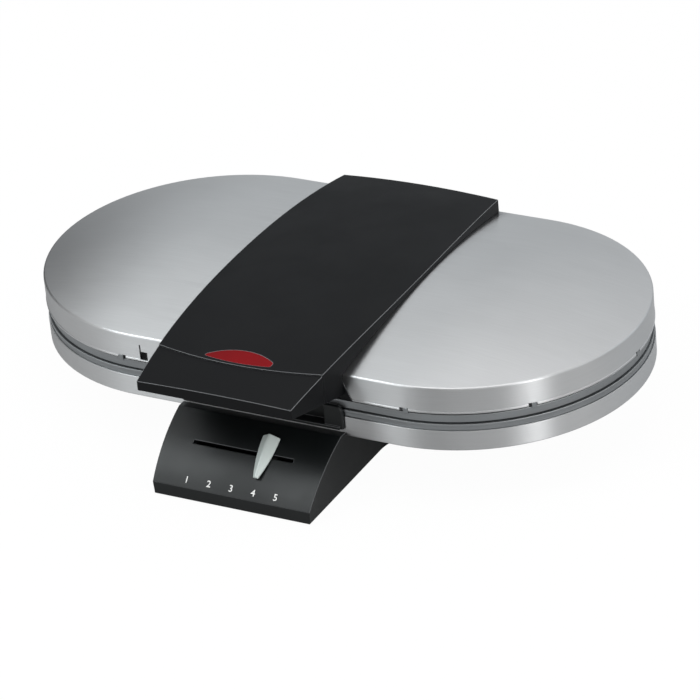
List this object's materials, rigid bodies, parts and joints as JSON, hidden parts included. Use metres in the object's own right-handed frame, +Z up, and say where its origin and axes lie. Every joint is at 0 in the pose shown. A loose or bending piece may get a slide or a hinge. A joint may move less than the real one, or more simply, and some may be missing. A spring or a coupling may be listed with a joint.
{
  "type": "double waffle iron",
  "caption": "Long rounded steel waffle iron with heart plates side by side, a hinged lid under a black band with a grip, and a slider on a sloped pedestal.",
  "frame": {"origin": "on the table, in the middle of the closed appliance's outline in plan", "axes": "+X along the housing's long way, to the right seen from the front; -Y to the front, where the grip and slider are; +Z up"},
  "size_m": [0.4004, 0.2876, 0.0958],
  "materials": {
    "black_housing": "fine satin grain",
    "black_band": "smooth satin",
    "black_inner": "moulded",
    "steel_shell": "satin brushed",
    "cast_plate": "die cast with a dark non-stick field",
    "sheet_metal": "mill",
    "heater_metal": "oxidised",
    "screw_steel": "zinc plated",
    "grey_knob": "semi gloss",
    "red_lens": "translucent red",
    "lamp_glass": "neon lamp in a clear sleeve",
    "foot_rubber": "matte",
    "ceramic": "unglazed"
  },
  "bodies": {
    "base": {"base_pedestal": "black_housing", "base_floor": "black_inner", "rubber_feet": "foot_rubber", "floor_screws": "screw_steel", "shell_screws": "screw_steel", "hinge_screws": "screw_steel", "lower_shell": "steel_shell", "front_bridge": "black_housing", "lower_plate_left": "cast_plate", "lower_plate_right": "cast_plate", "lower_heater_left": "heater_metal", "lower_heater_right": "heater_metal", "lower_reflector": "sheet_metal", "lower_plate_screws": "screw_steel", "hinge_bracket": "black_housing", "hinge_pins": "screw_steel", "slider_rail": "black_inner", "thermostat": "ceramic", "thermostat_bracket": "sheet_metal", "cord_gland": "black_inner", "terminal_block": "ceramic", "thermal_fuse": "ceramic"},
    "lid": {"lid_shell": "steel_shell", "top_band": "black_band", "handle_grip": "black_band", "lamp_lens": "red_lens", "signal_lamp": "lamp_glass", "lamp_holder": "black_inner", "front_frame": "black_band", "hinge_arms": "sheet_metal", "upper_plate_left": "cast_plate", "upper_plate_right": "cast_plate", "upper_heater_left": "heater_metal", "upper_heater_right": "heater_metal", "upper_reflector": "sheet_metal", "upper_plate_screws": "screw_steel", "frame_screws": "screw_steel", "band_screws": "screw_steel", "grip_screws": "screw_steel"},
    "slider": {"slider_knob": "grey_knob", "slider_carriage": "black_inner"},
    "regulator": {"regulator_ramp": "black_inner"}
  },
  "joints": [
    {"name": "lid_hinge", "type": "hinge", "parent": "base", "child": "lid", "pos_m": [0, 0.13783, 0.054], "axis": [-1, 0, 0], "range_deg": [0, 100]},
    {"name": "temperature_slide", "type": "slide", "parent": "base", "child": "slider", "axis": [1, 0, 0], "range_m": [-0.0459, 0.0153]},
    {"name": "regulator_slide", "type": "slide", "parent": "base", "child": "regulator", "axis": [0, 1, 0], "range_m": [-0.00368, 0.00123]}
  ],
  "couplings": [
    {"joint": "regulator_slide", "follows": "temperature_slide", "ratio": 0.08}
  ]
}
